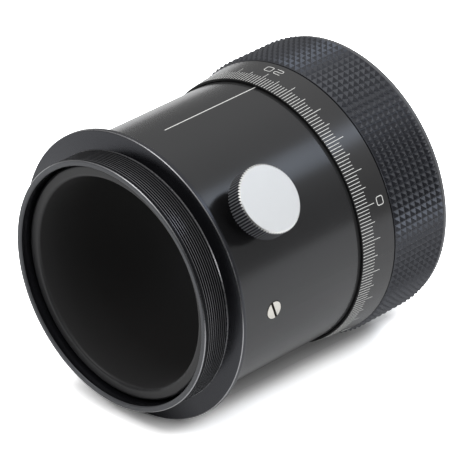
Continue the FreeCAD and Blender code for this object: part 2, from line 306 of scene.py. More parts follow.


# Black anodised aluminium: a dyed skin with cloudy gloss over lathe lines.
# A zone from one place along the axis to another may carry a painted shade: a darker colour, with more
# roughness.
def anodisedMaterial(name, values):
    finish = {**anodisedDefaults, **values}
    material, tree, shader = newMaterial(name)
    place, radius, along = roundTheAxis(tree)
    lines = latheLines(tree, radius, along, finish["linesPerMm"])
    cloud = noise(tree, place, 90.0, 3.0)
    grain = noise(tree, place, 6000.0, 1.0)
    dark = tuple(c * 0.86 for c in finish["colour"])
    light = tuple(c * 1.16 for c in finish["colour"])
    colour = mixColours(tree, cloud * 0.7 + grain * 0.3, dark, light)
    roughness = finish["roughness"] - 0.04 + cloud * 0.05 + lines * 0.03
    # Painted shade: darker and rougher between two places along the axis
    if "paintedShadeZone" in finish:
        zoneStart, zoneEnd = finish["paintedShadeZone"]
        inPaintedShade = (along > zoneStart) * (1 - (along > zoneEnd))
        colour = mixColours(tree, inPaintedShade, colour, finish["paintedShadeColour"])
        roughness = roughness + inPaintedShade * finish["matteness"]
    connect(shader, "Base Color", colour)
    connect(shader, "Roughness", roughness)
    connect(shader, "Normal", bumped(tree, lines * 0.75 + grain * 0.25, finish["bump"], 0.004))
    shader.inputs["IOR"].default_value = finish["ior"]
    shader.inputs["Specular Tint"].default_value = (*finish["tint"], 1)
    return material


anodisedFinishes = {
    # The barrel's zone of painted shade is the band next to the scale ring and under it.
    "barrel_anodised": {"colour": (0.0105, 0.0105, 0.0112), "roughness": 0.22, "tint": (0.97, 0.98, 1.0),
                        "paintedShadeZone": (47.9, 90.0)},
    "flange_anodised": {"colour": (0.0060, 0.0060, 0.0072), "roughness": 0.24, "tint": (0.86, 0.89, 1.0),
                        "bump": 0.06},
    # The thread's root finish is darkened as painted shade in its grooves and on its flanks; its crest
    # finish is lightened as a painted highlight on the crests.
    "thread_root_painted_shade": {"colour": (0.0022, 0.0022, 0.0026), "roughness": 0.50, "tint": (0.85, 0.9, 1.0),
                    "bump": 0.04, "ior": 1.25},
    "thread_crest_painted_highlight": {"colour": (0.0880, 0.0882, 0.0920), "roughness": 0.24, "tint": (0.95, 0.95, 1.0),
                     "bump": 0.04},
    "lip_anodised": {"colour": (0.0760, 0.0775, 0.0830), "roughness": 0.30, "tint": (0.9, 0.94, 1.0),
                     "bump": 0.06},
    # The scale ring's zone of painted shade is its front face, in the gap next to the barrel.
    "scale_anodised": {"colour": (0.0212, 0.0210, 0.0213), "roughness": 0.22, "tint": (0.98, 0.98, 1.0),
                       "bump": 0.06, "paintedShadeZone": (40.0, 49.14)},
    "rim_anodised": {"colour": (0.1130, 0.1145, 0.1210), "roughness": 0.42, "tint": (0.94, 0.96, 1.0)},
    "knob_flank": {"colour": (0.0480, 0.0500, 0.0560), "roughness": 0.34, "tint": (0.88, 0.92, 1.0),
                   "linesPerMm": 5.0},
    # The knob's crest finish is lightened as a painted highlight on the tips of its teeth.
    "knob_crest_painted_highlight": {"colour": (0.2300, 0.2350, 0.2500), "roughness": 0.30, "tint": (0.94, 0.96, 1.0),
                   "linesPerMm": 5.0},
    "grip_anodised": {"colour": (0.0185, 0.0193, 0.0235), "roughness": 0.27, "tint": (0.89, 0.92, 1.0),
                      "linesPerMm": 5.0, "ior": 1.6},
    "inner_anodised": {"colour": (0.0100, 0.0098, 0.0098), "roughness": 0.55, "linesPerMm": 6.0,
                       "bump": 0.15, "ior": 1.45},
}
anodised = {name: anodisedMaterial(name, finish) for name, finish in anodisedFinishes.items()}
print("anodised finishes made")


# Drawtube: a satin outside, and a matte bore that is faintly warm, with painted light that makes it a little
# paler near its mouth
tubeFinish = {"boreWithin": 30.35, "mouthStart": -8, "mouthLength": 20,
              "mouthLightColour": (0.0330, 0.0325, 0.0335),
              "ringDark": (0.0165, 0.0165, 0.0175), "ringLight": (0.0220, 0.0220, 0.0238),
              "boreDark": (0.0150, 0.0138, 0.0138), "boreLight": (0.0205, 0.0188, 0.0186),
              "roughness": 0.36, "boreMatteness": 0.34, "linesPerMm": 4.0, "bump": 0.12, "ior": 1.45}


def matteBlackMaterial():
    material, tree, shader = newMaterial("matte_black_bore")
    place, radius, along = roundTheAxis(tree)
    lines = latheLines(tree, radius, along, tubeFinish["linesPerMm"])
    speckle = noise(tree, place, 3500.0, 2.0)
    bore = 1 - (radius > tubeFinish["boreWithin"])
    ring = mixColours(tree, speckle, tubeFinish["ringDark"], tubeFinish["ringLight"])
    deep = mixColours(tree, speckle, tubeFinish["boreDark"], tubeFinish["boreLight"])
    # Painted light: the bore grows paler towards its mouth
    inwards = (along - tubeFinish["mouthStart"]) * (1 / tubeFinish["mouthLength"])
    mouth = addNode(tree, "ShaderNodeValToRGB", {"stops": [(0.0, 1.0), (1.0, 0.0)]}, {0: inwards})
    inside = mixColours(tree, mouth, deep, tubeFinish["mouthLightColour"])
    connect(shader, "Base Color", mixColours(tree, bore, ring, inside))
    matteness = bore * tubeFinish["boreMatteness"]
    connect(shader, "Roughness", tubeFinish["roughness"] + matteness + speckle * 0.06)
    connect(shader, "Normal", bumped(tree, lines * 0.5 + speckle * 0.5, tubeFinish["bump"], 0.006))
    shader.inputs["IOR"].default_value = tubeFinish["ior"]
    return material


# Off-white filling of the engraved marks
def markMaterial():
    material, tree, shader = newMaterial("mark_paint")
    place = objectPlace(tree)
    speckle = noise(tree, place, 4000.0, 2.0)
    connect(shader, "Base Color", mixColours(tree, speckle, (0.84, 0.84, 0.81), (0.94, 0.94, 0.91)))
    connect(shader, "Roughness", 0.45 + speckle * 0.15)
    connect(shader, "Normal", bumped(tree, speckle, 0.2, 0.01))
    return material


# Bright metal. Its lines run round the piece's own axis, which a Mapping node centres, and it may carry
# painted shade below a height on that axis, darker and rougher there.
def brightMaterial(name, metal):
    material, tree, shader = newMaterial(name)
    place = objectPlace(tree)
    local = addNode(tree, "ShaderNodeMapping", {"vector_type": "TEXTURE"},
                    {"Vector": place, "Location": metal["centre"], "Rotation": metal["turn"]})
    x, y, z = splitXyz(tree, local)
    radius = (x * x + y * y) ** 0.5 * 1000
    lines = latheLines(tree, radius, 0.0, metal["linesPerMm"])
    cloud = noise(tree, place, 220.0, 3.0)
    dark = tuple(c * 0.94 for c in metal["colour"])
    colour = mixColours(tree, cloud * 0.5 + lines * 0.5, dark, metal["colour"])
    roughness = metal["roughness"] + lines * 0.08 + cloud * 0.05
    # Painted shade below a height on the piece's axis: darker and rougher there
    if "shadeColour" in metal:
        inShade = 1 - (z * 1000 > metal["unshadedAbove"])
        colour = mixColours(tree, inShade, colour, metal["shadeColour"])
        roughness = roughness + inShade * 0.25
    connect(shader, "Base Color", colour)
    connect(shader, "Roughness", roughness)
    connect(shader, "Normal", bumped(tree, lines, metal["bump"], 0.003))
    shader.inputs["Metallic"].default_value = 1.0
    return material


# Plain finishes of hidden pieces and rubbed edges: two tones mixed by noise and lathe lines
def speckledMaterial(name, finish):
    material, tree, shader = newMaterial(name)
    place, radius, along = roundTheAxis(tree)
    speckle = noise(tree, place, finish["scale"], 3.0)
    lines = latheLines(tree, radius, along, finish["linesPerMm"])
    mask = speckle * (1 - finish["lineShare"]) + lines * finish["lineShare"]
    connect(shader, "Base Color", mixColours(tree, mask, finish["dark"], finish["light"]))
    connect(shader, "Roughness", finish["roughness"] + mask * 0.12)
    connect(shader, "Normal", bumped(tree, mask, finish["bump"], finish["depth"]))
    shader.inputs["Metallic"].default_value = finish["metallic"]
    return material


speckledFinishes = {
    "turned_bronze": {"dark": (0.40, 0.25, 0.12), "light": (0.62, 0.43, 0.22), "scale": 300.0,
                      "linesPerMm": 6.0, "lineShare": 0.6, "roughness": 0.28, "bump": 0.15, "depth": 0.006,
                      "metallic": 1.0},
    "slide_acetal": {"dark": (0.70, 0.69, 0.64), "light": (0.80, 0.79, 0.75), "scale": 900.0,
                     "linesPerMm": 3.0, "lineShare": 0.2, "roughness": 0.42, "bump": 0.1, "depth": 0.01,
                     "metallic": 0.0},
    "black_felt": {"dark": (0.010, 0.010, 0.010), "light": (0.045, 0.044, 0.043), "scale": 5200.0,
                   "linesPerMm": 1.0, "lineShare": 0.0, "roughness": 0.86, "bump": 0.7, "depth": 0.05,
                   "metallic": 0.0},
    "rubbed_edge": {"dark": (0.26, 0.26, 0.27), "light": (0.33, 0.33, 0.34), "scale": 900.0,
                    "linesPerMm": 8.0, "lineShare": 0.4, "roughness": 0.22, "bump": 0.08, "depth": 0.004,
                    "metallic": 1.0},
    "black_oxide": {"dark": (0.020, 0.020, 0.022), "light": (0.048, 0.048, 0.052), "scale": 1800.0,
                    "linesPerMm": 4.0, "lineShare": 0.3, "roughness": 0.36, "bump": 0.1, "depth": 0.004,
                    "metallic": 0.6},
}
speckled = {name: speckledMaterial(name, finish) for name, finish in speckledFinishes.items()}

# The lock screw and the key screw stand here because their finishes are centred on their axes
lockScrew = {"angle": 41.2, "along": 15.65, "topRadius": 47.9, "radius": 9.7, "height": 5.2,
             "teeth": 72, "toothDepth": 0.38, "chamfer": 0.5, "undersideRadius": 8.9, "hubRadius": 4.6,
             "hubHeight": 1.2, "studRadius": 2.52, "studDepth": 3.14, "faceRing": 0.55, "centreMark": 0.16,
             "markDepth": 0.1, "markTip": 0.03, "crestBand": 0.05, "turnedFrom": 4}
keyScrew = {"angle": -1.9, "along": 15.25, "sides": 64, "radius": 2.5, "topRadius": 38.12,
            "floorRadius": 36.97, "slotWidth": 0.75, "slotDepth": 0.8, "slotLength": 8, "slotTurn": 111.0,
            "edge": 0.09, "shankRadius": 1.5, "shankFoot": 33.8}
lockFoot = lockScrew["topRadius"] - lockScrew["height"]
lockFrame = surfaceFrame(lockScrew["angle"], lockScrew["along"], lockFoot)
keyFrame = surfaceFrame(keyScrew["angle"], keyScrew["along"], keyScrew["topRadius"])
matteBlack = matteBlackMaterial()
markPaint = markMaterial()
turnedAluminium = {"colour": (0.765, 0.766, 0.755), "centre": lockFrame.translation,
                   "turn": lockFrame.to_euler(), "linesPerMm": 11.0, "bump": 0.12}
turnedFace = brightMaterial("turned_aluminium_face", {**turnedAluminium, "roughness": 0.30})
turnedChamfer = brightMaterial("turned_aluminium_chamfer", {**turnedAluminium, "roughness": 0.22})
# The key screw's head has a painted shade in its slot and on its sides, below its top.
nickelPlate = brightMaterial("nickel_plate", {
    "colour": (0.66, 0.64, 0.59), "centre": keyFrame.translation, "turn": keyFrame.to_euler(),
    "linesPerMm": 6.0, "roughness": 0.30, "bump": 0.1, "unshadedAbove": -0.14, "shadeColour": (0.11, 0.10, 0.085)})
studSteel = brightMaterial("stud_steel", {
    "colour": (0.70, 0.69, 0.66), "centre": lockFrame.translation, "turn": lockFrame.to_euler(),
    "linesPerMm": 6.0, "roughness": 0.28, "bump": 0.1})
print("metals, paint and hidden finishes made")


# Front flange with its male thread
flange = {
    "corners": [
        (34.6, -8.5), (35.7, -8.5), (36.0, -8.2), (36.0, -7.45), (35.5, -7.35), (35.5, -0.42), (36.0, -0.34),
        (36.0, 0.0), (41.25, 0.0), (41.5, 0.25), (41.5, 1.35), (41.25, 1.6), (35.86, 1.6), (35.86, 9.0),
        (34.3, 9.0), (34.3, -8.2),
    ],
    "segments": 288,
    "edge": 0.05,
}
flangeThread = {"pitch": 0.75, "start": -7.8, "turns": 11, "buriedRadius": 35.48, "crestRadius": 35.97,
                "rootWidth": 0.74, "crestWidth": 0.23, "steps": 144}
# Where its finishes change, as radii and places along the axis
flangeZones = {"lipFront": -8.22, "lipEdge": 35.72, "threadRadius": 35.2, "threadEnd": -0.01,
               "crestRadius": 35.9, "crestStart": -7.5, "landStart": -0.36, "boreRadius": 34.5,
               "rimRadius": 41.27, "rimFront": 0.24}
flangePiece = turnedRing("front_flange_turned", flange["corners"], flange["segments"])
bevelEdges(flangePiece, flange["edge"], angle=25)
flangePiece = joinPieces(flangePiece, [threadRidge("flange_thread", flangeThread)])


flangeSkin, lipSkin, threadRootShade, threadCrestHighlight, rubbedEdge = range(5)


# Which of the flange's finishes a face has: the thread's crests get a painted highlight, its grooves and
# flanks a painted shade
def flangeFinish(centre):
    radius, along = radiusOf(centre) / mm, centre.y / mm
    if along < flangeZones["lipFront"]:
        return rubbedEdge if radius > flangeZones["lipEdge"] else lipSkin
    if along < flangeZones["threadEnd"] and radius > flangeZones["threadRadius"]:
        onCrest = radius > flangeZones["crestRadius"]
        if onCrest and along > flangeZones["landStart"]:
            return rubbedEdge
        return threadCrestHighlight if onCrest and along > flangeZones["crestStart"] else threadRootShade
    if along < 0 and radius < flangeZones["boreRadius"]:
        return lipSkin
    onRim = radius > flangeZones["rimRadius"] and along < flangeZones["rimFront"]
    return rubbedEdge if onRim else flangeSkin


assignMaterials(flangePiece, anodised["flange_anodised"], anodised["lip_anodised"], anodised["thread_root_painted_shade"],
                anodised["thread_crest_painted_highlight"], speckled["rubbed_edge"])
for face in flangePiece.data.polygons:
    face.material_index = flangeFinish(face.center)
smoothByAngle(flangePiece, angle=32)
finishPiece(flangePiece, "barrel", ["front_flange"])
print("front flange and thread made")


# Index line on the barrel, a filled groove
indexLine = {"angle": 92.65, "start": 14.6, "end": 55.0, "width": 0.35, "radius": 38.0, "rise": 0.02}


# A flat mark with a little height, on the surface at an angle
def surfaceMark(name, width, length, rise, matrix):
    deselectAll()
    bpy.ops.mesh.primitive_cube_add(size=1, location=(0, 0, 0))
    piece = bpy.context.object
    piece.name = name
    piece.scale = (width * mm, length * mm, 2 * rise * mm)
    bpy.ops.object.transform_apply(location=True, rotation=True, scale=True)
    placePiece(piece, matrix)
    return piece


lineLength = indexLine["end"] - indexLine["start"]
lineFrame = surfaceFrame(indexLine["angle"], indexLine["start"] + lineLength / 2, indexLine["radius"])
linePiece = surfaceMark("index_line", indexLine["width"], lineLength, indexLine["rise"], lineFrame)
assignMaterials(linePiece, markPaint)
finishPiece(linePiece, "barrel")
print("index line made")


# Graduations: 25 groups of ten, engraved from the front edge of the scale ring
scaleMarks = {"front": 49.10, "frontRadius": 38.911, "slope": 6.28, "zeroAngle": 21.75, "reading": 25,
              "groups": 25, "inGroup": 10, "width": 0.17, "short": 4.03, "medium": 5.08, "long": 6.18,
              "rise": 0.008}
markStep = 360 / scaleMarks["groups"] / scaleMarks["inGroup"]


def scaleFrame(angle, along):
    climb = (along - scaleMarks["front"]) * math.tan(math.radians(scaleMarks["slope"]))
    return surfaceFrame(angle, along, scaleMarks["frontRadius"] + climb, scaleMarks["slope"])


def markLengthOf(i):
    if i == 0:
        return scaleMarks["long"]
    return scaleMarks["medium"] if i == scaleMarks["inGroup"] / 2 else scaleMarks["short"]


marks = []
for i in range(scaleMarks["inGroup"]):
    markLength = markLengthOf(i)
    markAngle = scaleMarks["zeroAngle"] - i * markStep
    marks.append(surfaceMark(f"mark_{i}", scaleMarks["width"], markLength, scaleMarks["rise"],
                             scaleFrame(markAngle, scaleMarks["front"] + markLength / 2)))
markPiece = joinPieces(marks[0], marks[1:])
markPiece.name = "scale_marks"
bpy.ops.object.mode_set(mode="EDIT")
bpy.ops.mesh.select_all(action="SELECT")
groupAngle = math.radians(360 / scaleMarks["groups"])
bpy.ops.mesh.spin(steps=scaleMarks["groups"] - 1, dupli=True, angle=groupAngle * (scaleMarks["groups"] - 1),
                  center=(0, 0, 0), axis=(0, 1, 0))
bpy.ops.object.mode_set(mode="OBJECT")
assignMaterials(markPiece, markPaint)


# Numerals drawn as one stroke each, in a box from -1 to 1 with the top towards +y
numerals = {
    "0": {"closed": True, "corners": [(-1, -1), (1, -1), (1, 1), (-1, 1)]},
    "1": {"closed": False, "corners": [(-0.45, 0.55), (0.05, 1), (0.05, -1)]},
    "2": {"closed": False, "corners": [(-1, 1), (1, 1), (1, 0), (-1, 0), (-1, -1), (1, -1)]},
    "5": {"closed": False, "corners": [(1, 1), (-1, 1), (-1, 0), (1, 0), (1, -1), (-1, -1)]},
}
numeralStyle = {"width": 2.4, "height": 2.08, "stroke": 0.24, "corner": 0.6, "pitch": 3.55, "along": 57.3,
                "radius": 39.811, "rise": 0.04, "arcPoints": 6}


# The corners of a numeral, each rounded with a short arc
def roundedStroke(corners, closed):
    halfWidth, halfHeight = numeralStyle["width"] / 2, numeralStyle["height"] / 2
    points = [Vector((x * halfWidth, y * halfHeight, 0)) for x, y in corners]
    rounded = []
    for i, point in enumerate(points):
        if not closed and i in (0, len(points) - 1):
            rounded.append(point)
            continue
        before, after = points[i - 1], points[(i + 1) % len(points)]
        reach = min(numeralStyle["corner"], (before - point).length / 2, (after - point).length / 2)
        first = point + (before - point).normalized() * reach
        last = point + (after - point).normalized() * reach
        for k in range(numeralStyle["arcPoints"] + 1):
            share = k / numeralStyle["arcPoints"]
            rounded.append(first * (1 - share) ** 2 + point * 2 * share * (1 - share) + last * share ** 2)
    return rounded


def numeralPiece(digit, matrix):
    deselectAll()
    points = roundedStroke(numerals[digit]["corners"], numerals[digit]["closed"])
    curve = bpy.data.curves.new("numeral_" + digit, "CURVE")
    curve.dimensions = "3D"
    curve.bevel_depth = numeralStyle["stroke"] / 2 * mm
    curve.bevel_resolution = 2
    curve.use_fill_caps = True
    spline = curve.splines.new("POLY")
    spline.points.add(len(points) - 1)
    for place, point in zip(spline.points, points):
        place.co = (*(point * mm), 1)
    spline.use_cyclic_u = numerals[digit]["closed"]
    piece = bpy.data.objects.new("numeral_" + digit, curve)
    bpy.context.collection.objects.link(piece)
    makeActive(piece)
    bpy.ops.object.convert(target="MESH")
    piece = bpy.context.object
    piece.scale = (1, 1, numeralStyle["rise"] / (numeralStyle["stroke"] / 2))
    bpy.ops.object.transform_apply(location=False, rotation=False, scale=True)
    placePiece(piece, matrix)
    return piece


digits = []
for reading in (0, 5, 10, 15, 20):
    labelAngle = scaleMarks["zeroAngle"] - reading / scaleMarks["reading"] * 360
    text = str(reading)
    for i, digit in enumerate(text):
        shift = (i - (len(text) - 1) / 2) * numeralStyle["pitch"]
        turn = math.degrees(shift / numeralStyle["radius"])
        digits.append(numeralPiece(digit, scaleFrame(labelAngle + turn, numeralStyle["along"])))
numeralsPiece = joinPieces(digits[0], digits[1:])
numeralsPiece.name = "scale_numerals"
assignMaterials(numeralsPiece, markPaint)
smoothByAngle(numeralsPiece, angle=40)
for piece in (markPiece, numeralsPiece):
    finishPiece(piece, "focus_ring")
print("scale made:", len(digits), "numerals")


# Grip ring, cut with grooves along and across into square pyramids
grip = {"grooveRadius": 40.12, "crestRadius": 41.0, "front": 60.68, "frontStep": 0.05, "knurlStart": 60.77,
        "rows": 9, "rowPitch": 2.14, "around": 125, "groove": 0.09, "tip": 0.10, "rimStep": 0.2,
        "rimRadius": 40.35, "rimChamfer": 0.25, "end": 81.3, "innerRadius": 39.29, "lipBore": 35.6,
        "lipChamfer": 0.2, "lipFace": 79.02, "outsideRadius": 40}
knurlEnd = grip["knurlStart"] + grip["rows"] * grip["rowPitch"]
gripCorners = [
    (grip["innerRadius"], grip["front"]),
    (grip["grooveRadius"] - grip["frontStep"], grip["front"]),
]
for i in range(grip["rows"] + 1):
    gripCorners.append((grip["grooveRadius"], grip["knurlStart"] + i * grip["rowPitch"]))
gripCorners += [
    (grip["rimRadius"], knurlEnd + grip["rimStep"]),
    (grip["rimRadius"], grip["end"] - grip["rimChamfer"]),
    (grip["rimRadius"] - grip["rimChamfer"], grip["end"]),
    (grip["lipBore"] + grip["lipChamfer"], grip["end"]),
    (grip["lipBore"], grip["end"] - grip["lipChamfer"]),
    (grip["lipBore"], grip["lipFace"]),
    (grip["innerRadius"], grip["lipFace"]),
]
gripPiece = turnedRing("grip_ring_knurled", gripCorners, grip["around"])


# Countersunk holes for the three screws in the rear lip
gripScrews = {"circle": 37.425, "firstAngle": 30, "count": 3, "sides": 32, "headRadius": 1.74,
              "shankRadius": 0.99, "over": 82.0, "headRim": 80.65, "headFoot": 79.8, "foot": 76.2}


# The cutter is made upright on the origin, tapered to the shank, then laid along the axis at its place
def screwCutter(angle):
    deselectAll()
    bpy.ops.mesh.primitive_cylinder_add(vertices=gripScrews["sides"], radius=gripScrews["headRadius"] * mm,
                                        depth=(gripScrews["over"] - gripScrews["headRim"]) * mm)
    cutter = bpy.context.object
    cutter.name = "screw_cutter"
    middle = (gripScrews["over"] + gripScrews["headRim"]) / 2
    phi = math.radians(angle)
    place = Vector((math.cos(phi) * gripScrews["circle"], middle, math.sin(phi) * gripScrews["circle"])) * mm
    selectFaces(cutter, facesDown)
    bpy.ops.mesh.extrude_region_move(TRANSFORM_OT_translate={
        "value": (0, 0, (gripScrews["headFoot"] - gripScrews["headRim"]) * mm)})
    share = gripScrews["shankRadius"] / gripScrews["headRadius"]
    bpy.ops.transform.resize(value=(share, share, 1), center_override=(0, 0, 0))
    bpy.ops.mesh.extrude_region_move(TRANSFORM_OT_translate={
        "value": (0, 0, (gripScrews["foot"] - gripScrews["headFoot"]) * mm)})
    bpy.ops.object.mode_set(mode="OBJECT")
    cutter.rotation_euler = (math.radians(-90), 0, 0)
    cutter.location = place
    bpy.ops.object.transform_apply(location=True, rotation=True, scale=True)
    return cutter


screwStep = 360 / gripScrews["count"]
cutters = [screwCutter(gripScrews["firstAngle"] + screwStep * i) for i in range(gripScrews["count"])]
cutter = joinPieces(cutters[0], cutters[1:])
applyModifier(gripPiece, "BOOLEAN", operation="DIFFERENCE", solver="EXACT", object=cutter)
bpy.data.objects.remove(cutter)


def isOutside(centre):
    return radiusOf(centre) > grip["outsideRadius"] * mm


def inKnurl(centre, normal):
    facesOut = normal.x * centre.x + normal.z * centre.z > 0.9 * radiusOf(centre)
    return facesOut and grip["knurlStart"] * mm < centre.y < knurlEnd * mm and isOutside(centre)


selectFaces(gripPiece, inKnurl)
bpy.ops.mesh.inset(thickness=grip["groove"] / 2 * mm, depth=0, use_individual=True)
slopeRun = math.pi * grip["grooveRadius"] / grip["around"] - grip["groove"] / 2 - grip["tip"] / 2
bpy.ops.mesh.inset(thickness=slopeRun * mm, depth=(grip["crestRadius"] - grip["grooveRadius"]) * mm,
                   use_individual=True)
bpy.ops.object.mode_set(mode="OBJECT")
assignMaterials(gripPiece, anodised["grip_anodised"], anodised["rim_anodised"])
gripSkin, rimSkin = range(2)
for face in gripPiece.data.polygons:
    onRim = face.center.y > knurlEnd * mm and isOutside(face.center)
    face.material_index = rimSkin if onRim else gripSkin
smoothByAngle(gripPiece, angle=12)
finishPiece(gripPiece, "focus_ring", ["grip_ring"])
print("grip ring made:", len(gripPiece.data.polygons), "faces")


# Lock knob: a straight-knurled edge, with the bright top chamfer turned across the teeth

# Distance of a point from the knob's own axis, before the knob is put in its place
def distanceOf(co):
    return math.hypot(co.x, co.y)


# Bring the selected ring of the knob to a radius, and to a height if one is given
def setRing(knob, radius, height=None):
    bpy.ops.object.mode_set(mode="OBJECT")
    for vertex in knob.data.vertices:
        if vertex.select:
            scale = radius * mm / distanceOf(vertex.co)
            vertex.co.x *= scale
            vertex.co.y *= scale
            vertex.co.z = vertex.co.z if height is None else height * mm


def extrudeRing(rise):
    bpy.ops.mesh.extrude_edges_move(TRANSFORM_OT_translate={"value": (0, 0, rise * mm)})


# Each tooth takes three points of the circle, and the third is its root
def knobTeeth():
    deselectAll()
    count = lockScrew["teeth"] * 3
    outer = lockScrew["radius"]
    chamferFoot = lockScrew["height"] - lockScrew["chamfer"]
    bpy.ops.mesh.primitive_circle_add(vertices=count, radius=outer * mm, fill_type="NOTHING")
    knob = bpy.context.object
    knob.name = "lock_knob_turned"

    def isRoot(co):
        return round(math.degrees(math.atan2(co.y, co.x)) / (360 / count)) % 3 == 2

    def isTop(co):
        return co.z > (chamferFoot - 0.01) * mm

    selectVertices(knob, isRoot)
    share = 1 - lockScrew["toothDepth"] / outer
    bpy.ops.transform.resize(value=(share, share, 1), center_override=(0, 0, 0))
    bpy.ops.mesh.select_all(action="SELECT")
    extrudeRing(chamferFoot)
    bpy.ops.object.mode_set(mode="OBJECT")
    selectVertices(knob, lambda co: isRoot(co) and isTop(co))
    bpy.ops.transform.translate(value=(0, 0, lockScrew["toothDepth"] * mm))
    selectVertices(knob, isTop)
    extrudeRing(0)
    setRing(knob, outer - lockScrew["chamfer"], lockScrew["height"])
    return knob


# The turned face goes in to a tiny centre mark
def knobFace():
    bpy.ops.object.mode_set(mode="EDIT")
    radius = lockScrew["radius"] - lockScrew["chamfer"]
    for ring, sink in ((radius * lockScrew["faceRing"], 0), (lockScrew["centreMark"] * 2, 0),
                       (lockScrew["centreMark"], 0), (lockScrew["markTip"], lockScrew["markDepth"])):
        extrudeRing(-sink)
        bpy.ops.transform.resize(value=(ring / radius, ring / radius, 1), center_override=(0, 0, 0))
        radius = ring
    bpy.ops.mesh.edge_face_add()
    bpy.ops.object.mode_set(mode="OBJECT")


# The underside goes in to the hub and its bore for the stud
def knobUnderside(knob):
    hubRadius, hubHeight, studRadius = (lockScrew[key] for key in ("hubRadius", "hubHeight", "studRadius"))
    selectVertices(knob, lambda co: co.z < 0.01 * mm)
    for ring, rise in ((lockScrew["undersideRadius"], 0), (hubRadius, 0), (hubRadius, -hubHeight),
                       (studRadius, 0), (studRadius, hubHeight + lockScrew["studDepth"])):
        extrudeRing(rise)
        setRing(knob, ring)
        bpy.ops.object.mode_set(mode="EDIT")
    bpy.ops.mesh.edge_face_add()
    bpy.ops.mesh.select_all(action="SELECT")
    bpy.ops.mesh.normals_make_consistent(inside=False)
    bpy.ops.object.mode_set(mode="OBJECT")


flankSkin, crestHighlight, turnedTop, turnedEdge = range(4)


# Which of the knob's finishes a face has: level or sloping at the top, or on the crest or flank of a tooth,
# where the crest has a painted highlight
def knobFinish(face):
    if face.normal.z > 0.3 and face.center.z > lockScrew["turnedFrom"] * mm:
        return turnedTop if face.normal.z > 0.95 else turnedEdge
    onCrest = distanceOf(face.center) > (lockScrew["radius"] - lockScrew["crestBand"]) * mm
    return crestHighlight if onCrest and abs(face.normal.z) < 0.5 else flankSkin


knob = knobTeeth()
knobFace()
knobUnderside(knob)
assignMaterials(knob, anodised["knob_flank"], anodised["knob_crest_painted_highlight"], turnedFace, turnedChamfer)
for face in knob.data.polygons:
    face.material_index = knobFinish(face)
placePiece(knob, lockFrame)
smoothByAngle(knob, angle=20)
finishPiece(knob, "lock_screw", ["lock_knob"])
print("lock knob made:", len(knob.data.polygons), "faces")


# Key screw with a slotted nickel head
def keyScrewPiece():
    deselectAll()
    headHeight = keyScrew["topRadius"] - keyScrew["floorRadius"]
    bpy.ops.mesh.primitive_cylinder_add(vertices=keyScrew["sides"], radius=keyScrew["radius"] * mm,
                                        depth=headHeight * mm, location=(0, 0, -headHeight / 2 * mm))
    screw = bpy.context.object
    screw.name = "key_screw_slotted"
    bpy.ops.object.transform_apply(location=True, rotation=True, scale=True)
    selectFaces(screw, facesDown)
    bpy.ops.mesh.inset(thickness=(keyScrew["radius"] - keyScrew["shankRadius"]) * mm, depth=0)
    bpy.ops.mesh.extrude_region_move(TRANSFORM_OT_translate={
        "value": (0, 0, (keyScrew["shankFoot"] - keyScrew["floorRadius"]) * mm)})
    bpy.ops.object.mode_set(mode="OBJECT")
    bpy.ops.object.select_all(action="DESELECT")
    bpy.ops.mesh.primitive_cube_add(size=1)
    slot = bpy.context.object
    slot.scale = (keyScrew["slotLength"] * mm, keyScrew["slotWidth"] * mm, 2 * keyScrew["slotDepth"] * mm)
    slot.rotation_euler = (0, 0, math.radians(keyScrew["slotTurn"] - 90))
    bpy.ops.object.transform_apply(location=True, rotation=True, scale=True)
    applyModifier(screw, "BOOLEAN", operation="DIFFERENCE", solver="EXACT", object=slot)
    bpy.data.objects.remove(slot)
    bevelEdges(screw, keyScrew["edge"], segments=3, angle=40)
    return screw


screwPiece = keyScrewPiece()
assignMaterials(screwPiece, nickelPlate)
placePiece(screwPiece, keyFrame)
smoothByAngle(screwPiece)
finishPiece(screwPiece, "barrel", ["key_screw"])
print("key screw made")


# Rear adapter with its female thread
adapter = {
    "corners": [
        (30.2, 72.02), (31.46, 72.02), (31.46, 79.34), (35.2, 79.34), (35.2, 83.1), (34.9, 83.4),
        (34.35, 83.4), (34.0, 83.05), (34.0, 80.35), (33.3, 80.2), (30.5, 80.2), (30.2, 79.9),
    ],
    "segments": 224,
    "edge": 0.05,
}
adapterThread = {"pitch": 1.0, "start": 79.8, "turns": 3, "buriedRadius": 34.15, "crestRadius": 33.46,
                 "rootWidth": 0.9, "crestWidth": 0.14, "steps": 112}
adapterPiece = turnedRing("rear_adapter_threaded", adapter["corners"], adapter["segments"])
bevelEdges(adapterPiece, adapter["edge"], angle=25)
adapterPiece = joinPieces(adapterPiece, [threadRidge("adapter_thread", adapterThread)])
assignMaterials(adapterPiece, anodised["flange_anodised"])
smoothByAngle(adapterPiece, angle=32)
finishPiece(adapterPiece, "drawtube", ["rear_adapter"])
print("rear adapter and thread made")


# Finishes of the CAD nodes that stay
nodeFinishes = {
    "main_barrel": anodised["barrel_anodised"],
    "scale_ring": anodised["scale_anodised"],
    "helicoid_sleeve": anodised["inner_anodised"],
    "retaining_ring": anodised["inner_anodised"],
    "drawtube": matteBlack,
    "helicoid_nut": speckled["turned_bronze"],
    "key_shoe": speckled["turned_bronze"],
    "guide_band": speckled["slide_acetal"],
    "front_thrust_washer": speckled["slide_acetal"],
    "rear_thrust_washer": speckled["slide_acetal"],
    "lock_pad": speckled["slide_acetal"],
    "light_seal": speckled["black_felt"],
    "retaining_ring_screws": speckled["black_oxide"],
    "rear_adapter_screws": speckled["black_oxide"],
    "grip_screws": speckled["black_oxide"],
    "lock_stud": studSteel,
}
for name, material in nodeFinishes.items():
    assignMaterials(nodes[name], material)
print("CAD nodes finished")


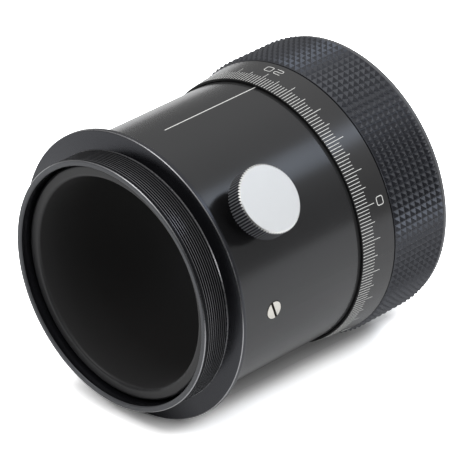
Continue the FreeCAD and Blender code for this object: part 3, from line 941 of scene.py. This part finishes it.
# Floor: white to the camera wherever no shadow falls, and a painted shadow in a strip close to the object,
# for the camera and in reflections.
# The painted shadow lightens to each side of the axis, ahead of the object and behind it.
stage = {"floor": -41.53, "size": 2400, "front": 125, "turn": 44.31, "colour": 0.88, "mirrored": 1.3,
         "shown": 3.3, "skew": 0.04, "skewFrom": 60,
         "aside": [(0.5, 0.18), (0.66, 0.28), (0.75, 0.48), (0.83, 0.74), (0.92, 0.95), (1.0, 1.0)],
         "asideReach": 24,
         "ahead": [(0.0, 0.0), (0.29, 0.32), (0.39, 0.4), (0.5, 0.52), (0.6, 0.68), (0.72, 0.78),
                   (0.86, 0.9), (1.0, 1.0)],
         "aheadFrom": 4, "aheadReach": 14,
         "behind": [(0.0, 0.0), (0.5, 0.6), (1.0, 1.0)],
         "behindFrom": 84, "behindReach": 18}
deselectAll()
floorTurn = math.radians(stage["turn"])
away = stage["size"] / 2 - stage["front"]
floorPlace = Vector((-math.sin(floorTurn) * away, math.cos(floorTurn) * away, stage["floor"])) * mm
bpy.ops.mesh.primitive_plane_add(size=stage["size"] * mm, location=floorPlace, rotation=(0, 0, floorTurn))
floor = bpy.context.object
floor.name = "floor"
bpy.ops.object.transform_apply(location=True, rotation=True, scale=True)
material, tree, shader = newMaterial("floor_paper")
place = objectPlace(tree)
paper = noise(tree, place, 40.0, 2.0)
tone = stage["colour"]
connect(shader, "Base Color", mixColours(tree, paper, (tone,) * 3, (tone + 0.01,) * 3))
shader.inputs["Roughness"].default_value = 1.0
shader.inputs["Specular IOR Level"].default_value = 0.0
seen = addNode(tree, "ShaderNodeLightPath", {}, {}, "Is Camera Ray")
mirrored = addNode(tree, "ShaderNodeLightPath", {}, {}, "Is Glossy Ray")
x, y, z = splitXyz(tree, place)
fromMiddle = x * 1000 + (stage["skewFrom"] - y * 1000) * stage["skew"]
aside = addNode(tree, "ShaderNodeValToRGB", {"stops": stage["aside"]},
                {0: fromMiddle.maths("ABSOLUTE", fromMiddle) * (1 / stage["asideReach"])})
ahead = addNode(tree, "ShaderNodeValToRGB", {"stops": stage["ahead"]},
                {0: (stage["aheadFrom"] - y * 1000) * (1 / stage["aheadReach"])})
behind = addNode(tree, "ShaderNodeValToRGB", {"stops": stage["behind"]},
                 {0: (y * 1000 - stage["behindFrom"]) * (1 / stage["behindReach"])})
# Painted shadow: clear is low close to the object and 1 beyond the strip, and darkens the floor for the
# camera and in reflections
clear = 1 - (1 - aside) * (1 - ahead) * (1 - behind)
shown = addNode(tree, "ShaderNodeBsdfDiffuse", {}, {"Color": clear * stage["shown"]})
bright = addNode(tree, "ShaderNodeBsdfDiffuse", {}, {"Color": clear * stage["mirrored"]})
lit = addNode(tree, "ShaderNodeMixShader", {}, {0: seen, 1: Wire(tree, shader.outputs[0]), 2: shown})
lit = addNode(tree, "ShaderNodeMixShader", {}, {0: mirrored, 1: lit, 2: bright})
tree.links.new(lit.socket, tree.nodes["Material Output"].inputs[0])
assignMaterials(floor, material)


# Soft studio light: a pale dome that brightens overhead and is dark low down on the camera's side
dome = {"stops": [(0.0, 0.44), (0.28, 0.46), (0.5, 0.68), (0.72, 0.97), (1.0, 1.05)], "strength": 1.0,
        "towardsFront": [(0.15, 0.0), (0.5, 1.0)], "lowDown": [(0.42, 1.0), (0.64, 0.0)], "darkening": 0.9}
world = bpy.data.worlds.new("studio")
bpy.context.scene.world = world
world.use_nodes = True
tree = world.node_tree
tree.nodes.clear()
direction = addNode(tree, "ShaderNodeTexCoord", {}, {}, "Generated")
x, y, z = splitXyz(tree, direction)
front = addNode(tree, "ShaderNodeValToRGB", {"stops": dome["towardsFront"]}, {0: 0 - y})
low = addNode(tree, "ShaderNodeValToRGB", {"stops": dome["lowDown"]}, {0: z})
shade = addNode(tree, "ShaderNodeValToRGB", {"stops": dome["stops"]}, {0: z})
shade = shade * (1 - front * low * dome["darkening"])
soft = addNode(tree, "ShaderNodeBackground", {}, {"Color": shade, "Strength": dome["strength"]})
white = addNode(tree, "ShaderNodeBackground", {}, {"Color": (1, 1, 1, 1), "Strength": 1.0})
camera = addNode(tree, "ShaderNodeLightPath", {}, {}, "Is Camera Ray")
sky = addNode(tree, "ShaderNodeMixShader", {}, {0: camera, 1: soft, 2: white})
addNode(tree, "ShaderNodeOutputWorld", {}, {"Surface": sky})

lamps = {
    "softbox": {"towards": (0.379, 0.623, 0.684), "size": (240, 240), "watts": 0.44,
                "colour": (0.74, 0.84, 1.0)},
    "softbox_low": {"towards": (0.454, 0.442, 0.773), "size": (200, 200), "watts": 0.26,
                    "colour": (0.74, 0.84, 1.0)},
    "front": {"towards": (-0.22, -0.66, 0.72), "size": (440, 150), "watts": 0.8, "colour": (1.0, 1.0, 1.0)},
    "side": {"towards": (0.95, -0.05, 0.31), "size": (300, 300), "watts": 1.6, "colour": (1.0, 1.0, 1.0)},
}
target = Vector((0, 35, 0)) * mm
lampDistance = 900
for name, lamp in lamps.items():
    deselectAll()
    place = target + Vector(lamp["towards"]).normalized() * lampDistance * mm
    bpy.ops.object.light_add(type="AREA", location=place)
    light = bpy.context.object
    light.name = name
    light.data.shape = "RECTANGLE"
    light.data.size = lamp["size"][0] * mm
    light.data.size_y = lamp["size"][1] * mm
    light.data.energy = lamp["watts"]
    light.data.color = lamp["colour"]
    light.rotation_euler = (place - target).to_track_quat("Z", "Y").to_euler()
print("floor and light made")


# Camera at the photograph's place and angle. Its place is in units of the flange's radius.
view = {"turn": 44.31, "tilt": 29.47, "across": 0.632, "rise": 0.297, "back": 24.922, "unit": 41.5,
        "focalPixels": 3868.7, "imagePixels": 460, "sensor": 36.0, "clipStart": 0.05}
turn, tilt = math.radians(view["turn"]), math.radians(view["tilt"])
right = Vector((math.cos(turn), math.sin(turn), 0))
forward = Vector((-math.sin(turn) * math.cos(tilt), math.cos(turn) * math.cos(tilt), -math.sin(tilt)))
up = right.cross(forward)
deselectAll()
bpy.ops.object.camera_add()
eye = bpy.context.object
eye.name = "camera"
eye.matrix_world = Matrix((right, up, -forward)).transposed().to_4x4()
eye.location = (right * view["across"] + up * view["rise"] - forward * view["back"]) * view["unit"] * mm
eye.data.sensor_width = view["sensor"]
eye.data.lens = view["focalPixels"] / view["imagePixels"] * view["sensor"]
eye.data.clip_start = view["clipStart"]
bpy.context.scene.camera = eye
bpy.context.scene.view_settings.view_transform = "Standard"
print("camera set")
